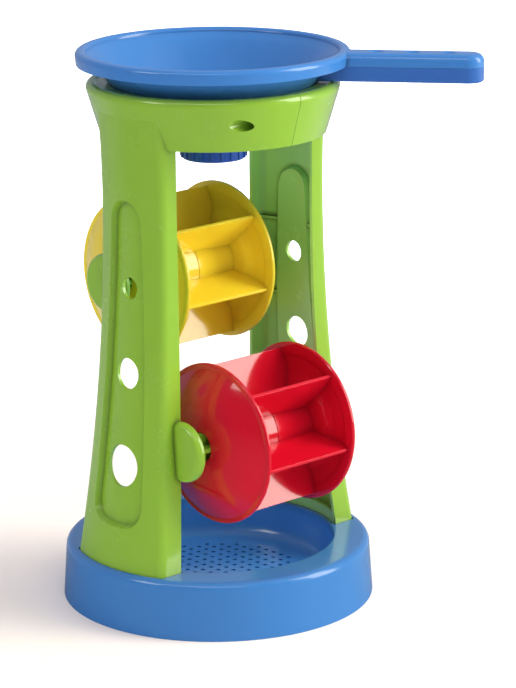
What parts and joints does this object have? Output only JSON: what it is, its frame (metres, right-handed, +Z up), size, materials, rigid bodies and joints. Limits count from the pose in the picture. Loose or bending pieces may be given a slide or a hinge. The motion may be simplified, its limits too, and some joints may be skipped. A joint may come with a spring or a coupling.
{
  "type": "sand wheel toy",
  "caption": "Free-standing sand toy: a lift-off funnel pan with a flow dial drops sand over two paddle wheels between curved legs into a round sieve tray.",
  "frame": {"origin": "centre of the base tray's underside, on the ground", "axes": "+Z up; the wheels' axles run along X; -Y is the side on which the lower wheel stands out"},
  "size_m": [0.2201, 0.2446, 0.3712],
  "materials": {
    "base_blue": "moulded polypropylene, satin gloss",
    "stand_green": "moulded polypropylene, satin gloss",
    "screw_steel": "zinc-plated steel",
    "wheel_yellow": "moulded polystyrene, high gloss",
    "wheel_red": "moulded polystyrene, high gloss",
    "pan_blue": "moulded polypropylene, satin gloss",
    "dial_blue": "moulded polypropylene, satin gloss"
  },
  "bodies": {
    "frame": {"base_tray": "base_blue", "left_stand_half": "stand_green", "right_stand_half": "stand_green", "collar_screws": "screw_steel"},
    "upper_wheel": {"upper_wheel_drum": "wheel_yellow", "upper_wheel_end_plate": "wheel_yellow", "upper_wheel_left_cap": "wheel_yellow", "upper_wheel_right_cap": "wheel_yellow"},
    "lower_wheel": {"lower_wheel_drum": "wheel_red", "lower_wheel_end_plate": "wheel_red", "lower_wheel_left_cap": "wheel_red", "lower_wheel_right_cap": "wheel_red"},
    "pan": {"funnel_pan": "pan_blue", "handle_under_shell": "pan_blue"},
    "dial": {"flow_dial": "dial_blue"}
  },
  "joints": [
    {"name": "upper_wheel_spin", "type": "hinge", "parent": "frame", "child": "upper_wheel", "pos_m": [0, 0.0364, 0.2179], "axis": [1, 0, 0], "continuous": true},
    {"name": "lower_wheel_spin", "type": "hinge", "parent": "frame", "child": "lower_wheel", "pos_m": [0, -0.0397, 0.1193], "axis": [1, 0, 0], "continuous": true},
    {"name": "pan_lift", "type": "slide", "parent": "frame", "child": "pan", "axis": [0, 0, 1], "range_m": [0, 0.06]},
    {"name": "dial_turn", "type": "hinge", "parent": "pan", "child": "dial", "pos_m": [0, 0, 0.305], "axis": [0, 0, 1], "range_deg": [0, 60]}
  ]
}
